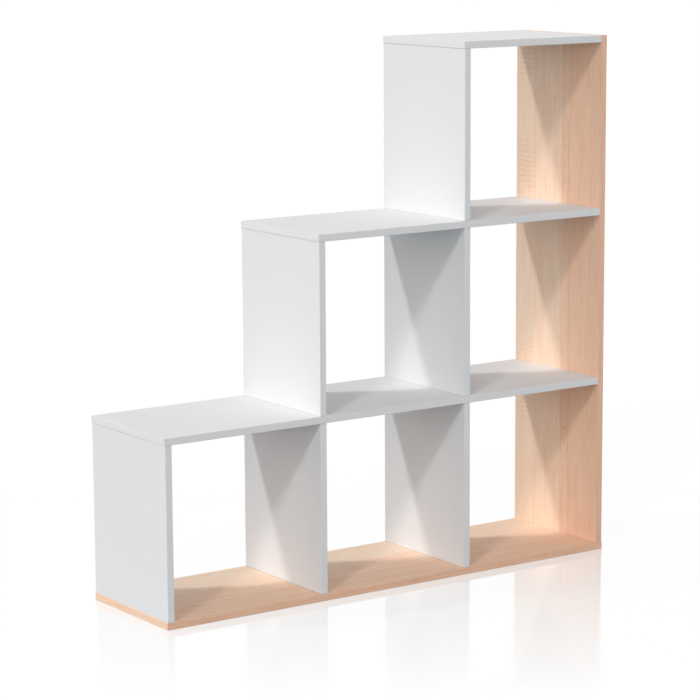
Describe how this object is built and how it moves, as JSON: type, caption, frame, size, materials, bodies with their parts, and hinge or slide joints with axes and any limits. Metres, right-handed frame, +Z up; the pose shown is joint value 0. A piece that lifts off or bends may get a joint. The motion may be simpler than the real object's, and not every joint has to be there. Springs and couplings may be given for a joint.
{
  "type": "staircase bookshelf",
  "caption": "Free-standing open bookshelf whose square bays climb to one side in steps, white boards on an oak-decor base panel and against a tall oak-decor side.",
  "frame": {"origin": "on the floor, in the middle of the base panel's footprint", "axes": "+Z up, +X towards the tall oak side, -Y the front that the picture shows"},
  "size_m": [1.121, 0.29, 1.134],
  "materials": {
    "white_board": "satin white melamine",
    "oak_decor_board": "matt oak-decor melamine",
    "white_band": "satin",
    "oak_band": "matt oak decor",
    "zinc_plated_steel": "zinc plated",
    "beech": "raw, fluted"
  },
  "bodies": {
    "root": {"base_panel": "oak_decor_board", "base_panel_back_band": "oak_band", "base_panel_front_band": "oak_band", "base_panel_left_band": "oak_band", "base_panel_right_band": "oak_band", "base_screws": "zinc_plated_steel", "dowels": "beech", "long_dowels": "beech", "lower_left_divider": "white_board", "lower_left_divider_back_band": "white_band", "lower_left_divider_front_band": "white_band", "lower_left_side": "white_board", "lower_left_side_back_band": "white_band", "lower_left_side_front_band": "white_band", "lower_right_divider": "white_board", "lower_right_divider_back_band": "white_band", "lower_right_divider_front_band": "white_band", "lower_shelf": "white_board", "lower_shelf_back_band": "white_band", "lower_shelf_front_band": "white_band", "lower_shelf_left_band": "white_band", "middle_divider": "white_board", "middle_divider_back_band": "white_band", "middle_divider_front_band": "white_band", "middle_left_side": "white_board", "middle_left_side_back_band": "white_band", "middle_left_side_front_band": "white_band", "middle_shelf": "white_board", "middle_shelf_back_band": "white_band", "middle_shelf_front_band": "white_band", "middle_shelf_left_band": "white_band", "right_side_panel": "oak_decor_board", "right_side_panel_back_band": "oak_band", "right_side_panel_front_band": "oak_band", "right_side_panel_top_band": "oak_band", "top_panel": "white_board", "top_panel_back_band": "white_band", "top_panel_front_band": "white_band", "top_panel_left_band": "white_band", "upper_left_side": "white_board", "upper_left_side_back_band": "white_band", "upper_left_side_front_band": "white_band"}
  },
  "joints": []
}
